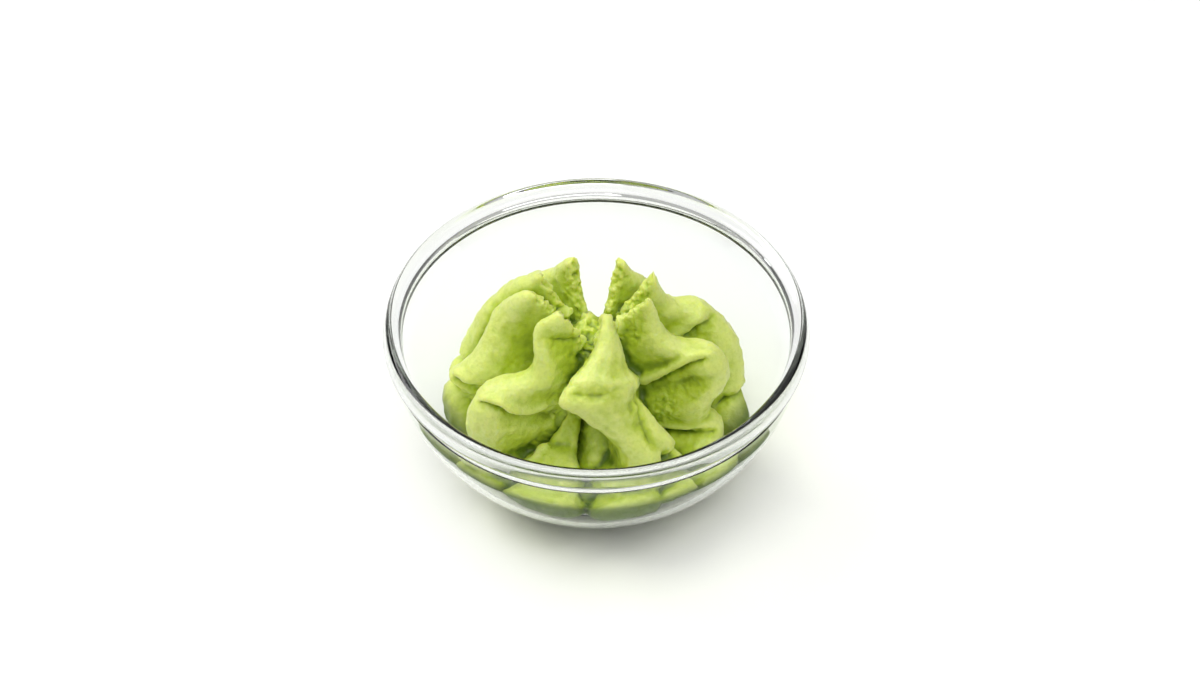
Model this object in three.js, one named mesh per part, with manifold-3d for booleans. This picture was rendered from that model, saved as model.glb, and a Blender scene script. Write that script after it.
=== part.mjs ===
// A small pressed-glass sauce bowl with a star-piped rosette of wasabi paste in it.
//
// Millimetres, +Z up. The origin is the centre of the bowl's foot, on the table.
// Azimuths run counter-clockwise from +X as seen from above; the viewer's side is -Y.
//
// The bowl is one lathe-turned piece of glass. The rosette is one piece of paste: a core with eight
// upright blades round it. A star nozzle laid the paste in two lifts, so each blade has a foot, which
// spreads against the glass, and above a notch the blade proper, which folds and ends in a torn tip.

import * as THREE from "three";
import { mergeVertices } from "three/addons/utils/BufferGeometryUtils.js";
import Module from "manifold-3d";

// ---------------------------------------------------------------- driving dimensions

const BOWL_DIAMETER = 60;
const BOWL_HEIGHT = 26;
const FOOT_RADIUS = 13;
const BODY_RADIUS = 29.6; // the outside is a sphere of this radius below the band
const BODY_CENTRE = BOWL_HEIGHT + 0.5; // height of that sphere's centre
const BAND_DEPTH = 2.8; // from the top of the lip to the underside of the band
const GROOVE_HEIGHT = 1.3; // a hollow moulding under the band
const GROOVE_DEPTH = 0.5;
const BAND_ROUND = 0.8;
const LIP_THICKNESS = 2.75;
const LIP_LEAN = 0.3; // how far the band leans in from its round to the lip
const LIP_OUTSIDE = [0.9, 1]; // the lip's outer quarter, an ellipse: half width and half height
const LIP_INSIDE_HEIGHT = 3.2; // half height of its inner quarter, which takes up the rest of the width
const WALL_THICKNESS = 1.4; // below the band, where the inside is a sphere too
const INSIDE_DROP = 0.5; // how far the inner sphere's centre is below the outer one's
const BASE_THICKNESS = 2.4;
const INSIDE_ROUND = 5; // between that sphere and the flat of the bottom
const BASE_RECESS = 0.5; // the push-up under the base that leaves a ring to stand on
const RECESS_RADIUS = 8.6;

const PASTE_GAP = 0.3; // between the paste and the glass it sits on
const PIT_HEIGHT = 25.6; // the torn hollow between the blades
const PIT_RADIUS = 3.2;
const PIT_CENTRE = [-0.6, -2.2]; // where the pit sits, a little forward of the axis
const NOTCH_ROOT = 8; // height on the axis where the blades fan out from
const ROOT_FLARE = 2.6; // how much thicker a blade is at the bottom of its root than at its waist

const BOWL_SIDES = 72;
const CAVITY_SIDES = 60;
const CORE_SIDES = 24;
const ROUND_STEPS = 4; // facets across the inside's round
const FOOT_STATIONS = 8; // sections lofted along a blade's foot
const BLADE_STATIONS = 24; // and along the blade above its notch
const CAP_STEPS = 5; // facets round a blade's crest
const FLANK_STEPS = 5; // facets from its root to the crest, on each side
const FINEST_DETAIL = 0.02; // slivers thinner than this are merged away where the blades join

// ---------------------------------------------------------------- the blades

// Each row is a point of the crest: [reach from the axis, height, sideways swing, half thickness].
// A positive swing is counter-clockwise. `foot` runs from the bottom of the bowl up to the notch,
// and `blade` from the notch to the tip. `root` is where the torn inner edge starts, at the pit:
// [reach, height, swing]. `crease` is the row of the blade where the paste folded over itself.
const BLADES = [
  {
    azimuth: 282,
    foot: [[10, 2.6, 0, 4], [18.6, 4.8, 0, 4.8], [22.2, 8.4, 0.2, 4.9], [21.2, 11, 1.4, 4], [18.6, 13.4, 3, 2.6]],
    blade: [[18.6, 13.4, 3, 2.6], [19, 16.5, 3.4, 2.7], [18, 19.2, 1.8, 2.8], [17.2, 21.4, -0.2, 3.1],
      [16.8, 24, -2.2, 4.3], [16.2, 26.3, -3.5, 5], [15, 28, -2.9, 4.9], [13.6, 29, -2.6, 4],
      [12.4, 29.9, -1.7, 3], [10.8, 31.2, -0.6, 2], [9, 32.5, -0.3, 1.2], [7, 34, 0.1, 0.6]],
    root: [2.8, 26, 0.8],
    crease: 4.1,
  },
  {
    azimuth: 337,
    foot: [[10, 2.6, -2, 3.8], [17.8, 5, -4, 4.4], [21, 8, -4, 4.2], [19.9, 10.4, -1.5, 3.2], [19, 12.3, 0.4, 2.6],
      [17.4, 14, 0, 2.2]],
    blade: [[17.4, 14, 0, 2.2], [17.6, 16.2, -0.4, 2.4], [18.7, 18.8, -0.4, 2.6], [19.8, 21, 0.1, 2.6],
      [19.9, 23.2, 0.3, 2.5], [19.1, 25.2, 0.4, 2.4], [17.3, 26.6, 0.4, 2.2], [15.2, 26.8, 0.3, 2.1],
      [13, 27, -0.5, 2], [11.3, 27.8, -0.8, 1.8], [10, 29.1, -0.6, 1.5], [9.1, 31, -0.3, 1.2],
      [8.2, 33.9, -0.6, 0.6]],
    root: [2.6, 26.2, -0.4],
    crease: 4.3,
  },
  {
    azimuth: 10,
    foot: [[10, 2.6, -2, 3.6], [17.8, 5, -4, 4], [21, 8, -6.6, 3.6], [20.8, 11, -5.6, 3], [20.2, 13, -3.8, 2.4]],
    blade: [[20.2, 13, -3.8, 2.4], [20.9, 15.4, -2.8, 2.6], [20.6, 18.4, -2, 2.6], [19.9, 20.8, -1.4, 2.6],
      [18.4, 23.2, -0.4, 2.4], [16.9, 25, 0.2, 2.2], [15.2, 26.3, 0.5, 2.1], [13.5, 26.9, 0.7, 2],
      [11.4, 27.4, 0.4, 1.8], [10.1, 28.6, 0.5, 1.5], [8.9, 31.2, 0.2, 1.2], [8.2, 33.7, 0, 0.6]],
    root: [3.6, 26.6, 0.3],
    crease: 4.6,
  },
  {
    azimuth: 57,
    foot: [[10, 2.6, -1, 3.8], [17.8, 5, -2, 4.4], [21, 8.4, -2.6, 4.2], [21, 11, -2, 3.2], [19.5, 13.5, -0.5, 2.4]],
    blade: [[19.5, 13.5, -0.5, 2.4], [19.4, 15, -0.6, 2.6], [17.4, 16, -1, 2.7], [14.8, 18.2, -1.6, 2.6],
      [12.8, 21.4, -2, 2.3], [11.2, 24.4, -2.2, 2], [9.8, 26.8, -2.2, 1.7], [8.7, 28.6, -2, 1.5],
      [7.4, 30.2, -1.5, 1.3], [6.2, 32, -1, 1], [5.4, 34, -0.7, 0.6]],
    root: [1.8, 25.6, -0.4],
    crease: 3.2,
  },
  {
    azimuth: 126,
    foot: [[10, 2.6, 0, 3.8], [17.8, 5, 0, 4.4], [21, 8.4, 0.6, 4.2], [20.8, 11, 0.8, 3.2], [19.4, 13.5, 0.4, 2.4]],
    blade: [[19.4, 13.5, 0.4, 2.4], [19.6, 16.6, 0, 2.8], [18, 20, 0, 2.8], [15.2, 23.4, 0.4, 2.5],
      [12.6, 26, 0.9, 2.2], [10.4, 28.2, 0.9, 1.8], [8.6, 30.2, 0.7, 1.5], [7, 32.4, 0.4, 1.2],
      [5.3, 33.9, 0.2, 0.8]],
    root: [2.8, 25.6, 0.4],
    crease: 3.4,
  },
  {
    azimuth: 168,
    foot: [[10, 2.6, -1, 3.6], [17.8, 5, -1, 4], [21, 8.4, 0, 3.6], [21, 11.4, 1.2, 3], [21, 14, 1.4, 2.4],
      [19.2, 15.8, 1, 2]],
    blade: [[19.2, 15.8, 1, 2], [19.6, 17.4, 0.9, 2.2], [18.8, 19.8, 0.7, 2.3], [17.9, 22, 0.2, 2.3],
      [16.5, 25, -0.1, 2.2], [14.8, 27, -0.9, 2], [13.1, 29, -1.2, 1.8], [11.2, 31, -0.7, 1.5],
      [9.3, 32.6, -0.1, 1.1], [7.9, 33.8, 0.6, 0.6]],
    root: [3.8, 26.8, 0.6],
    crease: 1.6,
  },
  {
    azimuth: 187,
    foot: [[10, 2.6, 0, 3.4], [17.8, 5, 0, 3.8], [21.4, 8.6, 0.4, 3.6], [22, 11.8, -0.4, 3], [21.6, 14.4, -0.6, 2.4],
      [19.8, 16, 0, 2]],
    blade: [[19.8, 16, 0, 2], [21, 17.4, 0, 2.3], [19.8, 19.2, 0.6, 2.5], [17.9, 21.2, 0.9, 2.6],
      [16.8, 23, 0.4, 2.5], [15.5, 25.2, -0.6, 2.4], [14.5, 27, -1.4, 2.2], [13.2, 29, -1.4, 2],
      [11.8, 31, -0.6, 1.6], [10.4, 32.6, 0.4, 1.2], [9, 33.6, 1.2, 0.6]],
    root: [4.4, 26.4, 0],
    crease: 1.8,
  },
  {
    azimuth: 215,
    foot: [[10, 2.6, 0, 3.4], [17.8, 5, 0, 4], [21, 8.4, -0.2, 3.8], [21.2, 11, 0, 3], [20.6, 13, 0, 2.4]],
    blade: [[20.6, 13, 0, 2.4], [21.6, 15, 0, 2.6], [21.6, 18, 0.2, 2.8], [21.1, 20.8, 0.4, 2.7],
      [19.8, 22.8, 0.6, 2.5], [17.6, 23.9, 1, 2.4], [14.8, 24.3, 2.1, 2.2], [12.9, 25, 2.8, 2],
      [12, 26.6, 2.7, 1.8], [11.6, 28.8, 1.9, 1.7], [10.9, 30.8, 1.2, 1.5], [9.8, 32.3, 1.4, 1.2],
      [7.8, 33.9, 2.5, 0.7]],
    root: [4, 25.6, 3.2],
    crease: 3.2,
  },
];

// The front blade's right side carries a second, narrower fold.
const SIDE_FOLD = {
  azimuth: 300,
  blade: [[17.2, 13.6, 1.4, 2], [18.4, 16.5, 0.8, 2], [17.7, 19, -0.5, 2], [16.2, 21.5, -1.8, 1.9],
    [14.6, 24, -2.9, 1.7], [13.4, 26, -3.4, 1.3], [12, 27, -3.6, 0.9]],
  root: [4, 20, -2],
  crease: -1,
};

// Three more lobes fill the foot at the front and the back, where the blades stand far apart.
const LOBES = [
  {
    azimuth: 246,
    foot: [[10, 2.6, 1, 4], [18.2, 5.4, 1, 5.2], [21.8, 8.6, 0.2, 5.8], [20.8, 11, 0, 4.8], [16, 12, 0, 3.4],
      [11, 12, 0, 2.8]],
  },
  {
    azimuth: 303,
    foot: [[10, 3.2, -1, 3], [17.4, 6.2, -1, 3.6], [21.4, 9.4, -0.4, 4], [20.4, 11.8, 0, 3.4], [16, 12.6, 0, 2.8],
      [11, 12.6, 0, 2.6]],
  },
  {
    azimuth: 91,
    foot: [[10, 2.6, 0, 3.6], [17.8, 4.6, 0, 4], [19.8, 6.6, 0, 4], [18.2, 8.2, 0, 3.4], [14, 8.8, 0, 3],
      [10, 9.2, 0, 2.8]],
  },
];

// ---------------------------------------------------------------- small helpers

const wasm = await Module();
wasm.setup();

const radians = THREE.MathUtils.degToRad;
const degrees = THREE.MathUtils.radToDeg;
const { lerp, smoothstep } = THREE.MathUtils;

// A repeatable value from -1 to 1 for a pair of whole numbers.
function jitter(i, j) {
  const s = Math.sin(i * 127.1 + j * 311.7) * 43758.5453;
  return 2 * (s - Math.floor(s)) - 1;
}

function ellipse(cx, cy, halfWidth, halfHeight, from, to, steps) {
  return Array.from({ length: steps + 1 }, (_, i) => {
    const a = radians(lerp(from, to, i / steps));
    return new THREE.Vector2(cx + halfWidth * Math.cos(a), cy + halfHeight * Math.sin(a));
  });
}

function arc(cx, cy, radius, from, to, steps) {
  return ellipse(cx, cy, radius, radius, from, to, steps);
}

// A profile of [radius, height] points turned about the Z axis.
function turned(profile, sides) {
  return new THREE.LatheGeometry(profile, sides).rotateX(Math.PI / 2);
}

function solidOf(geometry) {
  const bare = geometry.clone();
  bare.deleteAttribute("normal");
  bare.deleteAttribute("uv");
  const merged = mergeVertices(bare, 1e-4);
  return new wasm.Manifold(new wasm.Mesh({
    numProp: 3,
    vertProperties: merged.attributes.position.array,
    triVerts: new Uint32Array(merged.index.array),
  }));
}

function geometryOf(solid) {
  const mesh = solid.getMesh();
  return new THREE.BufferGeometry()
    .setAttribute("position", new THREE.BufferAttribute(mesh.vertProperties, 3))
    .setIndex(new THREE.BufferAttribute(mesh.triVerts, 1));
}

// ---------------------------------------------------------------- the bowl

// The inside: straight down from the lip, then a sphere, then a round into the flat bottom.
// `inset` moves it off the glass.
function insideProfile(top, inset, steps) {
  const wall = BOWL_DIAMETER / 2 - LIP_THICKNESS - inset;
  const sphere = BODY_RADIUS - WALL_THICKNESS - inset;
  const round = INSIDE_ROUND - inset;
  const bottom = BASE_THICKNESS + inset;
  const centre = BODY_CENTRE - INSIDE_DROP;
  const wallAngle = degrees(Math.acos(wall / sphere));
  const roundAngle = degrees(Math.asin((centre - bottom - round) / (sphere - round)));
  const roundReach = (sphere - round) * Math.cos(radians(roundAngle));
  return [
    new THREE.Vector2(wall, top),
    ...arc(0, centre, sphere, -wallAngle, -roundAngle, steps),
    ...arc(roundReach, bottom + round, round, -roundAngle, -90, ROUND_STEPS).slice(1),
    new THREE.Vector2(0, bottom),
  ];
}

function bowl() {
  const outer = BOWL_DIAMETER / 2;
  const [outsideWidth, outsideHeight] = LIP_OUTSIDE;
  const lipReach = outer - LIP_LEAN - outsideWidth; // to the top of the lip
  const insideWidth = lipReach - (outer - LIP_THICKNESS);
  const insideTop = BOWL_HEIGHT - LIP_INSIDE_HEIGHT;
  const bandBottom = BOWL_HEIGHT - BAND_DEPTH;
  const heel = 62.5; // where the body's sphere meets the foot's round, below the horizontal
  const grooveBottom = bandBottom - GROOVE_HEIGHT;
  const grooveAngle = Math.asin((BODY_CENTRE - grooveBottom) / BODY_RADIUS);
  const grooveReach = BODY_RADIUS * Math.cos(grooveAngle);
  const groove = [30, 60, 90].map(radians).map((a) => new THREE.Vector2(
    grooveReach - GROOVE_DEPTH * Math.sin(a),
    grooveBottom + GROOVE_HEIGHT * (1 - Math.cos(a)),
  ));
  const profile = [
    new THREE.Vector2(0, BASE_RECESS),
    new THREE.Vector2(RECESS_RADIUS, BASE_RECESS),
    new THREE.Vector2(RECESS_RADIUS + 0.9, 0.12),
    new THREE.Vector2(RECESS_RADIUS + 1.3, 0),
    new THREE.Vector2(FOOT_RADIUS - 0.9, 0),
    new THREE.Vector2(FOOT_RADIUS, 0.08),
    ...arc(0, BODY_CENTRE, BODY_RADIUS, -heel, -degrees(grooveAngle), 8),
    ...groove,
    ...arc(outer - BAND_ROUND, bandBottom + BAND_ROUND, BAND_ROUND, -90, 0, 3),
    ...ellipse(lipReach, BOWL_HEIGHT - outsideHeight, outsideWidth, outsideHeight, 0, 90, 4),
    ...ellipse(lipReach, insideTop, insideWidth, LIP_INSIDE_HEIGHT, 90, 180, 6).slice(1),
    ...insideProfile(insideTop - 0.8, 0, 11),
  ];
  return turned(profile, BOWL_SIDES);
}

// ---------------------------------------------------------------- the paste

// Points along a crest, as [reach, height, swing, half thickness], evenly through its rows.
function along(rows, stations) {
  const places = rows.map(([reach, height, swing]) => new THREE.Vector3(reach, height, swing));
  const curve = new THREE.CatmullRomCurve3(places, false, "centripetal");
  const thick = rows.map((row) => row[3]);
  return Array.from({ length: stations + 1 }, (_, i) => {
    const t = i / stations;
    const p = curve.getPoint(t);
    const k = Math.min(thick.length - 2, Math.floor(t * (thick.length - 1)));
    return [p.x, p.y, p.z, lerp(thick[k], thick[k + 1], t * (thick.length - 1) - k)];
  });
}

// One section of a blade: from its root out along one flank, round the crest and back.
// `flare` is how much thicker than the waist it is at the root, and `scale` thins or swells the flanks.
function section(root, crest, direction, side, flare, scale) {
  const [rootReach, rootHeight, rootSwing] = root;
  const [reach, height, swing, half] = crest;
  const capDepth = Math.min(half * 1.1, 2.5, (reach - rootReach) * 0.4);
  const length = Math.hypot(reach - rootReach, height - rootHeight);
  const capShare = 1 - capDepth / length;
  const halfAt = (u) => {
    const bead = half * (0.78 + 0.22 * smoothstep(u, 0.35, 0.85));
    return (bead + flare * (1 - u) ** 2.2) * lerp(scale, 1, smoothstep(u, 0.75, 1));
  };
  const at = (u, offset) => new THREE.Vector3()
    .addScaledVector(direction, lerp(rootReach, reach, u))
    .addScaledVector(side, lerp(rootSwing, swing, u ** 1.3) + offset)
    .setZ(lerp(rootHeight, height, u));
  const flank = Array.from({ length: FLANK_STEPS }, (_, i) => (i / FLANK_STEPS) * capShare);
  const cap = Array.from({ length: CAP_STEPS + 1 }, (_, i) => -90 + (180 * i) / CAP_STEPS).map(radians);
  return [
    ...flank.map((u) => at(u, -halfAt(u))),
    ...cap.map((a) => at(capShare + (1 - capShare) * Math.cos(a), halfAt(capShare) * Math.sin(a))),
    ...flank.toReversed().map((u) => at(u, halfAt(u))),
  ];
}

// A closed solid through a row of sections that all have the same number of points.
function lofted(sections) {
  const n = sections[0].length;
  const positions = sections.flat().flatMap((p) => p.toArray());
  const index = [];
  for (let i = 0; i + 1 < sections.length; i++) {
    for (let j = 0; j < n; j++) {
      const a = i * n + j;
      const b = i * n + ((j + 1) % n);
      index.push(a, b, b + n, a, b + n, a + n);
    }
  }
  // Each end is a ladder between the section's two halves.
  for (const [start, flip] of [[0, true], [(sections.length - 1) * n, false]]) {
    for (let j = 0; j < n / 2 - 1; j++) {
      const [a, b, c, d] = [start + j, start + j + 1, start + n - 2 - j, start + n - 1 - j];
      index.push(...(flip ? [a, c, b, a, d, c] : [a, b, c, a, c, d]));
    }
  }
  return solidOf(new THREE.BufferGeometry()
    .setAttribute("position", new THREE.Float32BufferAttribute(positions, 3))
    .setIndex(index));
}

function directions(azimuth) {
  const a = radians(azimuth);
  return [new THREE.Vector3(Math.cos(a), Math.sin(a), 0), new THREE.Vector3(-Math.sin(a), Math.cos(a), 0)];
}

// The foot's roots climb the axis with its crest, and it thins towards the notch.
function footSections({ azimuth, foot }) {
  const [direction, side] = directions(azimuth);
  return along(foot, FOOT_STATIONS).map((crest, i) => {
    const t = i / FOOT_STATIONS;
    const root = [1, lerp(2.6, NOTCH_ROOT + 1, t), 0];
    return section(root, crest, direction, side, ROOT_FLARE * 0.5, 1 - 0.25 * smoothstep(t, 0.7, 1));
  });
}

// At the crease the flanks pinch in, and just above it they swell out over the fold.
function creaseScale(row, crease) {
  const pinch = Math.exp(-(((row - crease) / 0.55) ** 2));
  const swell = Math.exp(-(((row - crease - 1.4) / 0.8) ** 2));
  return 1 - 0.3 * pinch + 0.16 * swell;
}

// The first row sits inside the foot, so that the two join.
function bladeSections({ azimuth, blade, root, crease }, number) {
  const [direction, side] = directions(azimuth);
  const [reach, height, swing, half] = blade[0];
  const rows = [[reach - 2, height - 2.4, swing, half], ...blade];
  const [rootReach, rootHeight, rootSwing] = root;
  return along(rows, BLADE_STATIONS).map((crest, i) => {
    const t = i / BLADE_STATIONS;
    const here = [
      lerp(1, rootReach, t ** 1.5),
      lerp(NOTCH_ROOT - 1, rootHeight, t ** 1.3),
      rootSwing * Math.sqrt(t),
    ];
    const torn = i === BLADE_STATIONS ? 0.3 : 0;
    const scale = creaseScale(t * (rows.length - 1) - 1, crease);
    return section(here, crest, direction, side, ROOT_FLARE * (1 - t) ** 1.5, scale)
      .map((p, j) => p.add(new THREE.Vector3(0, 0, torn * jitter(number, j))));
  });
}

function core() {
  const profile = [
    [0, 2.5], [12.6, 2.6], [13, 7], [10.4, 11], [8.2, 15], [6.2, 19], [5, 22.5],
    [PIT_RADIUS + 0.8, PIT_HEIGHT - 0.6], [PIT_RADIUS, PIT_HEIGHT + 0.2], [PIT_RADIUS - 1.2, PIT_HEIGHT],
    [0, PIT_HEIGHT - 0.5],
  ].map(([r, z]) => new THREE.Vector2(r, z));
  return solidOf(turned(profile, CORE_SIDES)).translate([...PIT_CENTRE, 0]);
}

// The room inside the bowl, up past the tips, less the gap.
function cavity() {
  const profile = [
    new THREE.Vector2(0, BOWL_HEIGHT * 2),
    ...insideProfile(BOWL_HEIGHT * 2, PASTE_GAP, 16),
  ];
  return solidOf(turned(profile.reverse(), CAVITY_SIDES));
}

function paste() {
  const pieces = [
    core(),
    ...[...BLADES, ...LOBES].map((row) => lofted(footSections(row))),
    ...[...BLADES, SIDE_FOLD].map((row, number) => lofted(bladeSections(row, number))),
  ];
  const whole = pieces.reduce((sum, piece) => sum.add(piece)).intersect(cavity()).simplify(FINEST_DETAIL);
  // Only the outer skin is kept, so the small pockets the folds enclose are filled.
  const skins = whole.decompose().sort((a, b) => b.volume() - a.volume());
  return geometryOf(skins[0]);
}

// ---------------------------------------------------------------- the part

const glass = new THREE.MeshStandardMaterial({
  color: 0xe9efec,
  roughness: 0.05,
  metalness: 0,
  transparent: true,
  opacity: 0.35,
});
const wasabi = new THREE.MeshStandardMaterial({ color: 0xa3be3c, roughness: 0.55, metalness: 0 });

function named(name, geometry, material) {
  const mesh = new THREE.Mesh(geometry, material);
  mesh.name = name;
  return mesh;
}

const part = new THREE.Group();
part.add(named("glass_bowl", bowl(), glass));
part.add(named("wasabi_paste", paste(), wasabi));

export default part;
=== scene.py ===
"""Looks for the wasabi paste in its glass bowl. Metres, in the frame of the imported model."""

import math

import bmesh
import bpy
import numpy as np
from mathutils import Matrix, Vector, noise


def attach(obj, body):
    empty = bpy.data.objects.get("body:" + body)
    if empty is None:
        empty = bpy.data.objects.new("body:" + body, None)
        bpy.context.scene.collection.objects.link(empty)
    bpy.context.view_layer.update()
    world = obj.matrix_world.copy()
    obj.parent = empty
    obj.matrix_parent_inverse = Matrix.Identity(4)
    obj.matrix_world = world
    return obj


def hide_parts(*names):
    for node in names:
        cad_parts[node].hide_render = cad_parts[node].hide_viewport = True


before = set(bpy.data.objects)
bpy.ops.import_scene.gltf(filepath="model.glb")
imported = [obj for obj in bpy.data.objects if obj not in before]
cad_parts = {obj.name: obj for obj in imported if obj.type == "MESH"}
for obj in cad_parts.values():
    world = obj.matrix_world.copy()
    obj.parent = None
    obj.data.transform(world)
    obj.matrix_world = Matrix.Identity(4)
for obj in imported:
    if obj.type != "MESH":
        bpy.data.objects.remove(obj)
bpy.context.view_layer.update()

MM = 0.001

# ---------------------------------------------------------------- sizes of the bowl, in millimetres

# The same values as the part's own, apart from WALL_BLEND.
BOWL_RADIUS = 30.0
BOWL_HEIGHT = 26.0
BODY_RADIUS = 29.6  # the outside is a sphere of this radius below the band
BODY_CENTRE = 26.5  # height of that sphere's centre
BAND_DEPTH = 2.8
BAND_ROUND = 0.8
GROOVE_HEIGHT = 1.3
GROOVE_DEPTH = 0.5
LIP_THICKNESS = 2.75
LIP_LEAN = 0.3
LIP_OUTSIDE = (0.9, 1.0)  # the lip's outer quarter: half width and half height
LIP_INSIDE_HEIGHT = 3.2
WALL_THICKNESS = 1.4
WALL_STRAIGHT = 0.8  # straight wall between the lip's inner quarter and the first point of the sphere
WALL_BLEND = 0.6  # eases the corner where the straight wall meets the inner sphere
INSIDE_DROP = 0.5
BASE_THICKNESS = 2.4
INSIDE_ROUND = 5.0
BASE_RECESS = 0.5
RECESS_RADIUS = 8.6
FOOT_RADIUS = 13.0
HEEL_ANGLE = 62.5  # where the outer sphere starts, in degrees below its centre

# The underside, from its middle to the heel: reach and height.
BASE_SECTION = [
    (0, BASE_RECESS),
    (RECESS_RADIUS - 2, BASE_RECESS),
    (RECESS_RADIUS, BASE_RECESS - 0.04),
    (RECESS_RADIUS + 0.9, 0.14),
    (RECESS_RADIUS + 1.4, 0.01),
    (FOOT_RADIUS - 1.6, 0),
    (FOOT_RADIUS - 0.8, 0),
    (FOOT_RADIUS, 0.09),
]

BOWL_SIDES = 224
BODY_STEPS = 40
GROOVE_STEPS = 12
BAND_STEPS = 10
LIP_OUTSIDE_STEPS = 14
LIP_INSIDE_STEPS = 24
INSIDE_STEPS = 64
INSIDE_ROUND_STEPS = 16
SHARP_ANGLE = 40

# ---------------------------------------------------------------- camera, light and floor

# The camera, fitted to the rim's two ellipses. Degrees and millimetres, but NEAREST_SEEN is in metres.
CAMERA_AIM = (0.53, -3.5, 26.0)
CAMERA_ELEVATION = 45.35
CAMERA_DISTANCE = 550.0
CAMERA_LENS = 118.15
SENSOR_WIDTH = 36
NEAREST_SEEN = 0.01

# The lamps: metres and watts.
LIGHT_AIM = (0, 0, 0.02)
KEY_PLACE = (-0.52, 0.3, 0.7)
KEY_SIZE = 0.6
KEY_POWER = 4.7
TOP_PLACE = (0.12, -0.3, 0.85)
TOP_SIZE = 0.8
TOP_POWER = 4.2
# Greys of the room by height: 0 at the horizon and below it, 1 overhead.
ROOM_GREYS = [(0.0, 0.5), (0.12, 0.5), (0.2, 0.05), (0.45, 0.05), (0.6, 0.6), (1.0, 0.5)]

FLOOR_REACH = 4.0
FLOOR_COLOUR = (0.92, 0.92, 0.92, 1)
FLOOR_ROUGHNESS = 0.7

# ---------------------------------------------------------------- looks of the glass

GLASS_IOR = 1.5
GLASS_COLOUR = (0.985, 0.995, 0.985, 1)
GLASS_SHADOW = (0.92, 0.935, 0.8, 1)  # what each surface of the glass lets through of a lamp's light
GLASS_DEPTH_COLOUR = (0.5, 0.52, 0.49, 1)
GLASS_DENSITY = 45.0
GLASS_BOUNCES = 14  # light that is still inside the lip after these is lost, which leaves a dark line
QUIET_GLASS = 0.8  # the share of its gloss that the wall loses below the rim
QUIET_GLASS_TOP = 21.5  # height in millimetres from which it starts to lose it
QUIET_GLASS_FADE = 1.0
MIRROR_SHARE = (0.75, 0.35)  # reflection at which the wall keeps its gloss, and at which it loses it

# ---------------------------------------------------------------- shape of the paste, in millimetres

VOXEL = 0.36
SMOOTH_ROUNDS = 14
RESMOOTH_ROUNDS = 2
TAUBIN_STEPS = (0.5, -0.52)
RELAX = 0.5
SHARPEN_ROUNDS = 16
SHARPEN_SHARE = 0.8
FREE_GAP = (0.3, 1.2)  # paste up to the first from the glass keeps its shape; past the second it is free

# Hollows and ridges, for the painted shade and highlight, are found against smoother skins: rounds of
# smoothing, full depth, share of the colour.
RELIEF = [(20, 0.3, 0.4), (180, 1.1, 0.8)]
# Paste near the glass and low in it gets painted shade: fully up to the first value, not past the second.
PRESSED_GAP = (1.2, 5.0)
PRESSED_TOP = (14.0, 20.0)

# Where the paste is torn: the clods of the pit, and the inner ends of the blades round it.
PIT_CENTRE = (-0.6, -2.2)
PIT_REACH = 5.4
PIT_EDGE = 1.4
PIT_HEIGHT = (23.5, 24.8)
ENDS_REACH = 10.5
ENDS_EDGE = 3
ENDS_HEIGHT = (22.5, 26)
ENDS_FACING = (0.15, 0.6)  # how squarely the skin faces the pit
NEAREST_TO_AXIS = 0.5

# Places where the side of a blade is torn, with the reach of each.
TORN_SPOTS = [((10.2, -6.9, 15.5), 3.4), ((8.0, -6.0, 12.5), 3.0), ((-17.5, -4.8, 15.5), 2.6)]
SPOT_SHARE = 0.55
SPOT_EDGE = 0.6

# Layers of the texture: height, size across and seed of each.
LUMPS = [(0.1, 3.0, 1), (0.13, 1.4, 2), (0.12, 0.75, 6)]
CRUMBS = [(0.3, 1.0, 3), (0.2, 0.5, 4)]
RAGS = [(0.4, 0.9, 5), (0.25, 0.45, 8)]
CLODS = [(1.1, 2.0, 7)]

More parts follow.
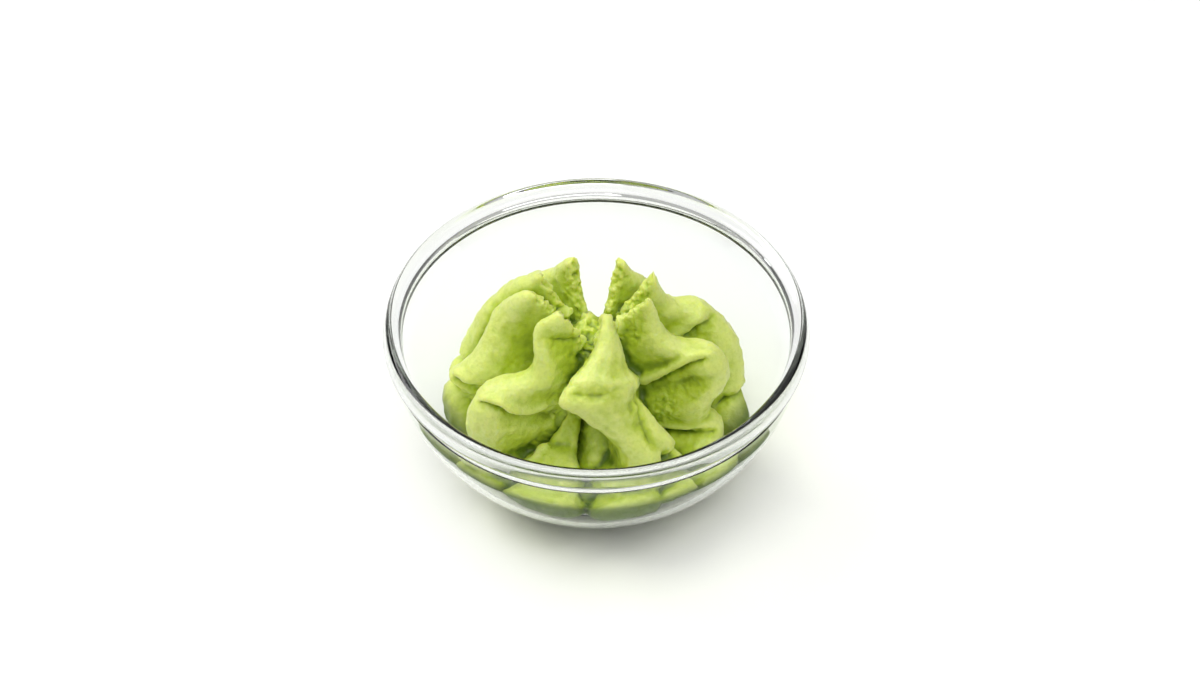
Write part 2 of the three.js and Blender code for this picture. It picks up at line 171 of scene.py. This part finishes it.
# Creases where a blade folded over itself: places on the skin, half width, depth, and how far
# the paste above swells over the crease.
CREASES = [
    # Across the left front blade, and between it and the lobe at its foot.
    ([(-15.8, -12.7, 22.0), (-13.8, -13.1, 21.6), (-11.5, -11.8, 19.4), (-9.0, -10.2, 18.0),
      (-6.5, -9.4, 18.0)], 0.5, 1.5, 0.7),
    ([(-6.9, -8.0, 30.4), (-5.6, -7.6, 29.5), (-3.9, -6.8, 28.6), (-2.5, -6.1, 28.5)], 1.0, 0.6, 0.25),
    ([(-4.4, -9.0, 15.8), (-5.9, -9.2, 13.7), (-7.4, -9.5, 11.7), (-8.6, -10.6, 10.9), (-9.7, -12.4, 11.2)],
     0.55, 1.3, 0.4),
    # The slot below the front blade, and the hollow above it.
    ([(-0.9, -9.6, 16.2), (-1.3, -10.9, 13.8), (-1.6, -11.9, 12.0), (-1.9, -13.1, 10.6), (-2.2, -15.5, 8.5)],
     0.75, 4.0, 0.0),
    ([(-4.4, -8.2, 18.2), (-2.3, -10.0, 15.3), (-0.6, -10.7, 14.4)], 2.2, 1.8, 0.0),
    # The front blade: the dent across its face and the crease down its right side.
    ([(-3.2, -15.6, 27.2), (-1.8, -16.0, 27.3), (0.1, -15.9, 27.1), (1.9, -15.5, 27.1)], 0.8, 0.4, 0.2),
    ([(5.4, -13.3, 25.2), (5.9, -13.7, 23.0), (6.3, -14.8, 21.6), (6.9, -15.6, 19.6), (7.6, -16.6, 18.1)],
     0.6, 0.55, 0.0),
    # The right front blade: the long fold under its shoulder and the one near its foot.
    ([(5.6, -5.2, 17.6), (7.6, -5.4, 18.2), (9.5, -6.5, 20.3), (11.7, -7.6, 22.9), (13.3, -8.0, 24.7),
      (15.0, -8.1, 25.8)], 0.6, 1.2, 0.6),
    ([(11.0, -7.0, 19.4), (13.6, -7.9, 22.4)], 1.8, 0.7, 0.0),
    ([(8.6, -6.6, 10.2), (10.2, -6.8, 10.6), (13.3, -8.1, 11.5), (16.4, -8.5, 12.0)], 0.55, 1.2, 0.5),
    # The blades behind them.
    ([(12.4, 0.2, 21.8), (13.2, 0.6, 22.3), (14.6, 0.7, 23.6), (16.3, 1.6, 24.4)], 0.7, 0.8, 0.3),
    ([(17.3, -2.7, 11.5), (18.5, -2.3, 12.6), (20.5, -1.2, 12.8)], 0.6, 0.8, 0.3),
    ([(-20.6, -4.0, 18.1), (-19.5, -4.3, 17.7), (-17.8, -4.6, 17.4), (-16.4, -5.2, 17.2)], 0.6, 1.0, 0.4),
]
CREASE_FACING = (-0.1, 0.45)  # how far the skin has to face the same way as the crease
CREASE_START = 0.08  # how far into its rise a crease starts, so that its ends keep some depth
CREASE_SPAN = 0.84
CREASE_FULLNESS = 0.6  # below 1 the crease keeps its depth nearly to its ends
CREASE_SIDES = 1.2  # the power that shapes the sides of a crease
SWELL_AWAY = 2.2  # the swelling's distance from the crease and its width, in half widths
SWELL_WIDTH = 1.3

# Torn skin above this share, and skin nearer than this to a crease in half widths, gets a finer mesh.
REFINE_TORN = 0.3
REFINE_CREASE = 1.6

# ---------------------------------------------------------------- looks of the paste

# Colours by relief, from a ridge (0) to the bottom of a hollow (1): a painted highlight on the ridges and
# painted shade in the hollows.
PAINTED_RELIEF_LIGHT = [(0.2, (0.73, 0.81, 0.24)), (0.5, (0.57, 0.69, 0.07)), (0.9, (0.15, 0.24, 0.01))]
# Tints that multiply them, each by a noise or, as painted shade, by how near the glass and how low the paste
# is.
BLOTCH_TINTS = [(0.35, (0.95, 0.97, 0.85)), (0.65, (1, 1, 1))]
SPECKLE_TINTS = [(0.3, (0.92, 0.94, 0.85)), (0.55, (1, 1, 1))]
LOW_SHADE_TINTS = [(0.0, (1, 1, 1)), (1.0, (0.16, 0.22, 0.08))]
# Noises: size across in millimetres and detail.
BLOTCH_NOISE = (3.0, 4)
SPECKLE_NOISE = (0.5, 2)
GLOSS_NOISE = (2.5, 2)
GRAIN_NOISE = (0.45, 4)
GLOSS_NOISE_RANGE = (0.35, 0.65)
ROUGHNESS_RANGE = (0.36, 0.56)
GRAIN_HEIGHT = 0.28
GRAIN_STRENGTH = 0.6

PASTE_SHADER = {
    "Specular IOR Level": 0.5,
    "Subsurface Weight": 1.0,
    "Subsurface Radius": (1.0, 0.85, 0.15),
    "Subsurface Scale": 1.4 * MM,
    "Coat Weight": 0.2,
    "Coat Roughness": 0.25,
}


# ---------------------------------------------------------------- helpers


def new_mesh(name, vertices, faces):
    mesh = bpy.data.meshes.new(name)
    mesh.from_pydata(vertices, [], faces)
    return new_object(name, shade_smooth(mesh))


def shade_smooth(mesh):
    mesh.polygons.foreach_set("use_smooth", [True] * len(mesh.polygons))
    mesh.update()
    return mesh


def new_object(name, data):
    obj = bpy.data.objects.new(name, data)
    bpy.context.scene.collection.objects.link(obj)
    return obj


def ellipse(cx, cz, half_width, half_height, start, end, steps):
    for i in range(steps + 1):
        a = math.radians(start + (end - start) * i / steps)
        yield (cx + half_width * math.cos(a), cz + half_height * math.sin(a))


def arc(cx, cz, radius, start, end, steps):
    yield from ellipse(cx, cz, radius, radius, start, end, steps)


def soft_minimum(a, b, blend):
    near = max(blend - abs(a - b), 0) / blend
    return min(a, b) - near * near * blend / 4


def smoothstep(x, low, high):
    t = np.clip((x - low) / (high - low), 0, 1)
    return t * t * (3 - 2 * t)


def set_colours(ramp, stops):
    """Stops of a colour ramp, as (place, (red, green, blue))."""
    elements = ramp.color_ramp.elements
    while len(elements) < len(stops):
        elements.new(0.5)
    for element, (place, colour) in zip(elements, stops):
        element.position = place
        element.color = (*colour, 1)


class Graph:
    """A new material's shader nodes."""

    def __init__(self, name):
        self.material = bpy.data.materials.new(name)
        self.material.use_nodes = True
        self.nodes = self.material.node_tree.nodes
        self.links = self.material.node_tree.links
        self.shader = self.nodes["Principled BSDF"]
        self.output = self.nodes["Material Output"]

    def node(self, kind, values=None):
        node = self.nodes.new("ShaderNode" + kind)
        self.set(node, values or {})
        return node

    def set(self, node, values):
        for name, value in values.items():
            node.inputs[name].default_value = value

    def place(self):
        return self.node("TexCoord").outputs["Object"]

    def map_range(self, value, source, target):
        node = self.node("MapRange", {"From Min": source[0], "From Max": source[1]})
        self.set(node, {"To Min": target[0], "To Max": target[1]})
        self.links.new(value, node.inputs["Value"])
        return node.outputs[0]

    def noise(self, place, size_mm, detail):
        node = self.node("TexNoise", {"Scale": 1 / (size_mm * MM), "Detail": detail})
        self.links.new(place, node.inputs["Vector"])
        return node.outputs["Fac"]

    def attribute(self, name):
        node = self.node("Attribute")
        node.attribute_name = name
        return node.outputs["Fac"]

    def colours(self, factor, stops):
        ramp = self.node("ValToRGB")
        set_colours(ramp, stops)
        self.links.new(factor, ramp.inputs[0])
        return ramp.outputs[0]

    def multiply_colours(self, a, b):
        mix = self.node("Mix")
        mix.data_type = "RGBA"
        mix.blend_type = "MULTIPLY"
        mix.inputs[0].default_value = 1.0
        self.links.new(a, mix.inputs[6])
        self.links.new(b, mix.inputs[7])
        return mix.outputs[2]

    def multiply(self, a, b):
        node = self.node("Math")
        node.operation = "MULTIPLY"
        self.links.new(a, node.inputs[0])
        self.links.new(b, node.inputs[1])
        return node.outputs[0]

    def mix_shaders(self, factor, a, b):
        mix = self.node("MixShader")
        self.links.new(factor, mix.inputs[0])
        self.links.new(a.outputs[0], mix.inputs[1])
        self.links.new(b.outputs[0], mix.inputs[2])
        return mix


# ---------------------------------------------------------------- the set


def make_camera():
    e = math.radians(CAMERA_ELEVATION)
    back = Vector((0, -math.cos(e), math.sin(e)))
    aim = Vector(CAMERA_AIM) * MM
    data = bpy.data.cameras.new("camera")
    data.sensor_fit = "HORIZONTAL"
    data.sensor_width = SENSOR_WIDTH
    data.lens = CAMERA_LENS
    data.clip_start = NEAREST_SEEN
    camera = new_object("camera", data)
    camera.location = aim + back * CAMERA_DISTANCE * MM
    camera.rotation_euler = back.to_track_quat("Z", "Y").to_euler()
    bpy.context.scene.camera = camera


def area_light(name, place, size, power):
    data = bpy.data.lights.new(name, "AREA")
    data.shape = "RECTANGLE"
    data.size = size
    data.size_y = size
    data.energy = power
    light = new_object(name, data)
    light.location = place
    light.rotation_euler = (Vector(place) - Vector(LIGHT_AIM)).to_track_quat("Z", "Y").to_euler()


def make_world():
    """A pale room with a dark band round it above the horizon, which the glass's edges pick up."""
    world = bpy.data.worlds.new("studio")
    bpy.context.scene.world = world
    world.use_nodes = True
    nodes, links = world.node_tree.nodes, world.node_tree.links
    coordinate = nodes.new("ShaderNodeTexCoord")
    split = nodes.new("ShaderNodeSeparateXYZ")
    links.new(coordinate.outputs["Generated"], split.inputs[0])
    height = nodes.new("ShaderNodeValToRGB")
    set_colours(height, [(place, (grey, grey, grey)) for place, grey in ROOM_GREYS])
    links.new(split.outputs["Z"], height.inputs[0])
    links.new(height.outputs[0], nodes["Background"].inputs["Color"])


def make_light():
    make_world()
    area_light("key", KEY_PLACE, KEY_SIZE, KEY_POWER)
    area_light("top", TOP_PLACE, TOP_SIZE, TOP_POWER)
    scene = bpy.context.scene
    scene.view_settings.view_transform = "Standard"
    scene.cycles.max_bounces = GLASS_BOUNCES
    scene.cycles.transmission_bounces = GLASS_BOUNCES
    scene.cycles.glossy_bounces = GLASS_BOUNCES


def make_floor():
    corners = [(-1, -1), (1, -1), (1, 1), (-1, 1)]
    vertices = [(x * FLOOR_REACH, y * FLOOR_REACH, 0) for x, y in corners]
    floor = new_mesh("floor", vertices, [(0, 1, 2, 3)])
    graph = Graph("floor")
    graph.set(graph.shader, {"Base Color": FLOOR_COLOUR, "Roughness": FLOOR_ROUGHNESS})
    floor.data.materials.append(graph.material)


# ---------------------------------------------------------------- the glass bowl


def groove_profile(band_bottom):
    """The outer sphere up to the groove, and the groove's hollow up to the band."""
    bottom = band_bottom - GROOVE_HEIGHT
    angle = math.asin((BODY_CENTRE - bottom) / BODY_RADIUS)
    reach = BODY_RADIUS * math.cos(angle)
    yield from arc(0, BODY_CENTRE, BODY_RADIUS, -HEEL_ANGLE, -math.degrees(angle), BODY_STEPS)
    for i in range(1, GROOVE_STEPS + 1):
        a = math.pi / 2 * i / GROOVE_STEPS
        yield (reach - GROOVE_DEPTH * math.sin(a), bottom + GROOVE_HEIGHT * (1 - math.cos(a)))


def lip_profile():
    """A tight outer quarter and a long inner one."""
    width, height = LIP_OUTSIDE
    reach = BOWL_RADIUS - LIP_LEAN - width
    inside_width = reach - (BOWL_RADIUS - LIP_THICKNESS)
    inside_height = LIP_INSIDE_HEIGHT
    inside_centre = BOWL_HEIGHT - inside_height
    yield from ellipse(reach, BOWL_HEIGHT - height, width, height, 0, 90, LIP_OUTSIDE_STEPS)
    inside = ellipse(reach, inside_centre, inside_width, inside_height, 90, 180, LIP_INSIDE_STEPS)
    yield from list(inside)[1:]


def inside_profile():
    """The inside from the lip down: straight, easing into a sphere, then a round into the flat."""
    wall = BOWL_RADIUS - LIP_THICKNESS
    sphere = BODY_RADIUS - WALL_THICKNESS
    centre = BODY_CENTRE - INSIDE_DROP
    top = BOWL_HEIGHT - LIP_INSIDE_HEIGHT - WALL_STRAIGHT
    top_angle = math.degrees(math.asin((centre - top) / sphere))
    round_height = BASE_THICKNESS + INSIDE_ROUND
    round_angle = math.degrees(math.asin((centre - round_height) / (sphere - INSIDE_ROUND)))
    round_reach = (sphere - INSIDE_ROUND) * math.cos(math.radians(round_angle))
    for r, z in arc(0, centre, sphere, -top_angle, -round_angle, INSIDE_STEPS):
        yield (soft_minimum(r, wall, WALL_BLEND), z)
    round_arc = arc(round_reach, round_height, INSIDE_ROUND, -round_angle, -90, INSIDE_ROUND_STEPS)
    yield from list(round_arc)[1:]
    yield (0, BASE_THICKNESS)


def bowl_profile():
    """The section: from the middle of the base, out, up over the lip and down the inside to the middle."""
    band_bottom = BOWL_HEIGHT - BAND_DEPTH
    points = BASE_SECTION + list(groove_profile(band_bottom))
    points += arc(BOWL_RADIUS - BAND_ROUND, band_bottom + BAND_ROUND, BAND_ROUND, -90, 0, BAND_STEPS)
    return points + list(lip_profile()) + list(inside_profile())


def turned(name, profile, sides):
    """A closed surface of revolution whose profile starts and ends on the axis."""
    ring = profile[1:-1]
    vertices = [(0, 0, profile[0][1] * MM), (0, 0, profile[-1][1] * MM)]
    for r, z in ring:
        for k in range(sides):
            a = 2 * math.pi * k / sides
            vertices.append((r * math.cos(a) * MM, r * math.sin(a) * MM, z * MM))
    faces = []
    for k in range(sides):
        n = (k + 1) % sides
        faces.append((0, 2 + n, 2 + k))
        for i in range(len(ring) - 1):
            a, b = 2 + i * sides, 2 + (i + 1) * sides
            faces.append((a + k, a + n, b + n, b + k))
        last = 2 + (len(ring) - 1) * sides
        faces.append((1, last + k, last + n))
    return new_mesh(name, vertices, faces)


def quiet_share(graph):
    """How much of its gloss the glass loses: none in the rim or where it acts as a mirror."""
    split = graph.node("SeparateXYZ")
    graph.links.new(graph.place(), split.inputs[0])
    fade = (QUIET_GLASS_TOP * MM, (QUIET_GLASS_TOP - QUIET_GLASS_FADE) * MM)
    below_rim = graph.map_range(split.outputs["Z"], fade, (0, QUIET_GLASS))
    fresnel = graph.node("Fresnel", {"IOR": GLASS_IOR})
    not_mirror = graph.map_range(fresnel.outputs[0], MIRROR_SHARE, (0, 1))
    return graph.multiply(below_rim, not_mirror)


def glass_material():
    """Clear glass that lets lamps through. The wall below the rim shows little but what is behind it."""
    graph = Graph("glass")
    clear = {"Roughness": 0.0, "IOR": GLASS_IOR}
    graph.set(graph.shader, {"Base Color": GLASS_COLOUR, "Transmission Weight": 1.0, **clear})
    through = graph.node("BsdfRefraction", {"Color": GLASS_COLOUR, **clear})
    body = graph.mix_shaders(quiet_share(graph), graph.shader, through)
    shadow = graph.node("BsdfTransparent", {"Color": GLASS_SHADOW})
    is_shadow = graph.node("LightPath").outputs["Is Shadow Ray"]
    surface = graph.mix_shaders(is_shadow, body, shadow)
    graph.links.new(surface.outputs[0], graph.output.inputs["Surface"])
    depth = graph.node("VolumeAbsorption", {"Color": GLASS_DEPTH_COLOUR, "Density": GLASS_DENSITY})
    graph.links.new(depth.outputs[0], graph.output.inputs["Volume"])
    return graph.material


def make_bowl():
    bowl = turned("clear_bowl", bowl_profile(), BOWL_SIDES)
    bowl.data.set_sharp_from_angle(angle=math.radians(SHARP_ANGLE))
    bowl.data.materials.append(glass_material())
    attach(bowl, "root")
    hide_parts("glass_bowl")


# ---------------------------------------------------------------- the paste's shape


def remeshed_copy(node, name):
    """A copy of a CAD node rebuilt as an even skin of small quads."""
    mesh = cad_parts[node].data.copy()
    mesh.name = name
    mesh.materials.clear()
    obj = new_object(name, mesh)
    remesh = obj.modifiers.new("skin", "REMESH")
    remesh.mode = "VOXEL"
    remesh.voxel_size = VOXEL * MM
    depsgraph = bpy.context.evaluated_depsgraph_get()
    skin = bpy.data.meshes.new_from_object(obj.evaluated_get(depsgraph))
    obj.modifiers.clear()
    obj.data = skin
    return obj


class Skin:
    """A mesh's vertices as numpy arrays, with what smoothing and displacement need."""

    def __init__(self, mesh):
        self.mesh = mesh
        count = len(mesh.vertices)
        self.points = np.empty(count * 3)
        mesh.vertices.foreach_get("co", self.points)
        self.points = self.points.reshape(-1, 3)
        edges = np.empty(len(mesh.edges) * 2, dtype=np.int64)
        mesh.edges.foreach_get("vertices", edges)
        self.edges = edges.reshape(-1, 2)
        self.degree = np.bincount(self.edges.ravel(), minlength=count)[:, None]

    def neighbour_mean(self, values):
        a, b = self.edges.T
        columns = [
            np.bincount(a, values[b, k], len(values)) + np.bincount(b, values[a, k], len(values))
            for k in range(values.shape[1])
        ]
        return np.stack(columns, 1) / self.degree

    def relaxed(self, points, rounds):
        """Points drawn towards their neighbours, for a smoother skin that shrinks."""
        points = points.copy()
        for _ in range(rounds):
            points += RELAX * (self.neighbour_mean(points) - points)
        return points

    def smooth(self, rounds):
        """Taubin smoothing: it takes out facets without shrinking the blades."""
        for _ in range(rounds):
            for factor in TAUBIN_STEPS:
                self.points += factor * (self.neighbour_mean(self.points) - self.points)

    def sharpen(self, rounds, share, weight):
        """Thin the crests and deepen the hollows, by their distance from a smoother skin."""
        smoother = self.relaxed(self.points, rounds)
        self.points += share * weight[:, None] * (self.points - smoother)

    def normals(self):
        self.write()
        normals = np.empty(len(self.points) * 3)
        self.mesh.vertices.foreach_get("normal", normals)
        return normals.reshape(-1, 3)

    def write(self):
        self.mesh.vertices.foreach_set("co", self.points.ravel())
        self.mesh.update()

    def store(self, name, values):
        attribute = self.mesh.attributes.new(name, "FLOAT", "POINT")
        attribute.data.foreach_set("value", values)


def noise_at(points, size, seed):
    """Smooth noise from -1 to 1 at points in millimetres, with features about `size` across."""
    offset = Vector((seed * 7.3, seed * 3.1, seed * 5.7))
    return np.array([noise.noise(Vector(p) / size + offset) for p in points])


def crumbs_at(points, size, seed):
    """Rounded grains about `size` across, from about -0.5 between them to 0.5 on their tops."""
    offset = Vector((seed * 5.1, seed * 2.9, seed * 6.7))
    return np.array([0.5 - noise.voronoi(Vector(p) / size + offset)[0][0] for p in points])


def layered(pattern, points, layers, below=0):
    """The heights of some layers of a pattern at the points, on top of what is below them."""
    for height, size, seed in layers:
        below = below + height * pattern(points, size, seed)
    return below


def nearest_on_path(points, path):
    """For each point: its distance from a polyline, how far along it is (0 to 1) and its height above it."""
    distance = np.full(len(points), np.inf)
    along = np.zeros(len(points))
    above = np.zeros(len(points))
    steps = len(path) - 1
    for i in range(steps):
        line = path[i + 1] - path[i]
        share = np.clip((points - path[i]) @ line / (line @ line), 0, 1)
        offset = points - path[i] - share[:, None] * line
        away = np.linalg.norm(offset, axis=1)
        closer = away < distance
        distance[closer] = away[closer]
        along[closer] = (i + share[closer]) / steps
        above[closer] = offset[closer, 2]
    return distance, along, above


def torn_share(mm, normals):
    """How torn the paste is at each point: in the pit alone, and there, at the ends and at the spots."""
    dx, dy = mm[:, 0] - PIT_CENTRE[0], mm[:, 1] - PIT_CENTRE[1]
    reach = np.maximum(np.hypot(dx, dy), NEAREST_TO_AXIS)
    inward = -(normals[:, 0] * dx + normals[:, 1] * dy) / reach
    near_pit = smoothstep(ENDS_REACH - reach, 0, ENDS_EDGE)
    ends = smoothstep(inward, *ENDS_FACING) * near_pit * smoothstep(mm[:, 2], *ENDS_HEIGHT)
    pit = smoothstep(PIT_REACH - reach, 0, PIT_EDGE) * smoothstep(mm[:, 2], *PIT_HEIGHT)
    spots = np.zeros(len(mm))
    for place, spread in TORN_SPOTS:
        away = np.linalg.norm(mm - place, axis=1)
        spots = np.maximum(spots, SPOT_SHARE * smoothstep(spread - away, 0, SPOT_EDGE * spread))
    return pit, np.maximum(np.maximum(ends, pit), spots)


def refine(paste):
    """Halve the quads where the paste is torn or creased, so that grains and folds have enough mesh."""
    skin = Skin(paste.data)
    mm = skin.points / MM
    wanted = torn_share(mm, skin.normals())[1] > REFINE_TORN
    for places, width, _, _ in CREASES:
        wanted |= nearest_on_path(mm, np.array(places))[0] < REFINE_CREASE * width
    mesh = bmesh.new()
    mesh.from_mesh(paste.data)
    edges = [e for e in mesh.edges if wanted[e.verts[0].index] and wanted[e.verts[1].index]]
    bmesh.ops.subdivide_edges(mesh, edges=edges, cuts=1, use_grid_fill=True)
    mesh.to_mesh(paste.data)
    mesh.free()


def mean_facing(path, mm, normals):
    """The way the skin faces along a path, on average."""
    facing = np.mean([normals[np.argmin(np.linalg.norm(mm - place, axis=1))] for place in path], axis=0)
    return facing / np.linalg.norm(facing)


def add_creases(skin):
    """Press each crease into the skin, only where the skin faces the same way as at the crease."""
    normals = skin.normals()
    mm = skin.points / MM
    move = np.zeros(mm.shape)
    for places, width, depth, swell in CREASES:
        path = np.array(places)
        distance, along, above = nearest_on_path(mm, path)
        facing = mean_facing(path, mm, normals)
        fullness = np.sin(np.pi * (CREASE_START + CREASE_SPAN * along)) ** CREASE_FULLNESS
        weight = smoothstep(normals @ facing, *CREASE_FACING) * fullness
        press = weight * depth * np.exp(-((distance / width) ** CREASE_SIDES))
        bulge = np.exp(-(((distance - SWELL_AWAY * width) / (SWELL_WIDTH * width)) ** 2))
        swelling = weight * swell * bulge * smoothstep(above, 0, width)
        move += swelling[:, None] * normals - press[:, None] * facing
    skin.points += move * MM


def gap_to_glass(mm):
    centre = BODY_CENTRE - INSIDE_DROP
    return BODY_RADIUS - WALL_THICKNESS - np.linalg.norm(mm - (0, 0, centre), axis=1)


def clear_of_glass(skin):
    """0 where the paste lies against the glass, and 1 where it has room to be reshaped."""
    return smoothstep(gap_to_glass(skin.points / MM), *FREE_GAP)


def add_texture(skin):
    """Soft lumps and fine grain all over, clods in the pit and crumbs where the paste tore off the nozzle."""
    normals = skin.normals()
    mm = skin.points / MM
    pit, torn = torn_share(mm, normals)
    lumps = layered(noise_at, mm, LUMPS)
    ragged = layered(noise_at, mm, RAGS, layered(crumbs_at, mm, CRUMBS))
    clods = layered(noise_at, mm, CLODS)
    lift = lumps + torn * ragged + pit * clods
    skin.points += normals * (lift * clear_of_glass(skin) * MM)[:, None]


def mark_relief(skin):
    """Store how deep in a hollow each point is, from 0 on a ridge to 1, and how near the glass and low; both
    feed painted shade.
    """
    normals = skin.normals()
    smoother = skin.points
    depth = np.zeros(len(smoother))
    for rounds, full_depth, share in RELIEF:
        smoother = skin.relaxed(smoother, rounds)
        below = np.einsum("ij,ij->i", smoother - skin.points, normals) / MM
        depth += share * np.clip(below / full_depth, -1, 1)
    # The hollow depth drives painted shade in the hollows and a painted highlight on the ridges.
    skin.store("hollow", np.clip(0.5 + 0.5 * depth, 0, 1))
    # How near the glass and how low each point is: this drives painted shade.
    mm = skin.points / MM
    near = 1 - smoothstep(gap_to_glass(mm), *PRESSED_GAP)
    skin.store("pressed", near * (1 - smoothstep(mm[:, 2], *PRESSED_TOP)))


def make_paste():
    paste = remeshed_copy("wasabi_paste", "piped_paste")
    skin = Skin(paste.data)
    skin.smooth(SMOOTH_ROUNDS)
    skin.write()
    refine(paste)
    skin = Skin(paste.data)
    skin.smooth(RESMOOTH_ROUNDS)
    add_creases(skin)
    skin.sharpen(SHARPEN_ROUNDS, SHARPEN_SHARE, clear_of_glass(skin))
    add_texture(skin)
    mark_relief(skin)
    shade_smooth(paste.data)
    paste.data.materials.append(paste_material())
    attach(paste, "root")
    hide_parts("wasabi_paste")


# ---------------------------------------------------------------- the paste's material


def paste_colour(graph, place):
    """Painted highlight on ridges and painted shade in hollows and low by the glass, faintly blotched and
    speckled.
    """
    # Painted highlight on the ridges and painted shade in the hollows.
    painted_relief_light = graph.colours(graph.attribute("hollow"), PAINTED_RELIEF_LIGHT)
    blotches = graph.colours(graph.noise(place, *BLOTCH_NOISE), BLOTCH_TINTS)
    speckle = graph.colours(graph.noise(place, *SPECKLE_NOISE), SPECKLE_TINTS)
    # Painted shade on the paste low against the glass.
    low_shade = graph.colours(graph.attribute("pressed"), LOW_SHADE_TINTS)
    blotched = graph.multiply_colours(painted_relief_light, blotches)
    return graph.multiply_colours(blotched, graph.multiply_colours(speckle, low_shade))


def paste_material():
    graph = Graph("wasabi_paste")
    place = graph.place()
    shader, links = graph.shader, graph.links
    graph.set(shader, PASTE_SHADER)
    links.new(paste_colour(graph, place), shader.inputs["Base Color"])
    roughness = graph.map_range(graph.noise(place, *GLOSS_NOISE), GLOSS_NOISE_RANGE, ROUGHNESS_RANGE)
    links.new(roughness, shader.inputs["Roughness"])
    bump = graph.node("Bump", {"Strength": GRAIN_STRENGTH, "Distance": GRAIN_HEIGHT * MM})
    links.new(graph.noise(place, *GRAIN_NOISE), bump.inputs["Height"])
    links.new(bump.outputs[0], shader.inputs["Normal"])
    return graph.material


# ---------------------------------------------------------------- the scene

make_camera()
make_light()
make_floor()
make_bowl()
make_paste()
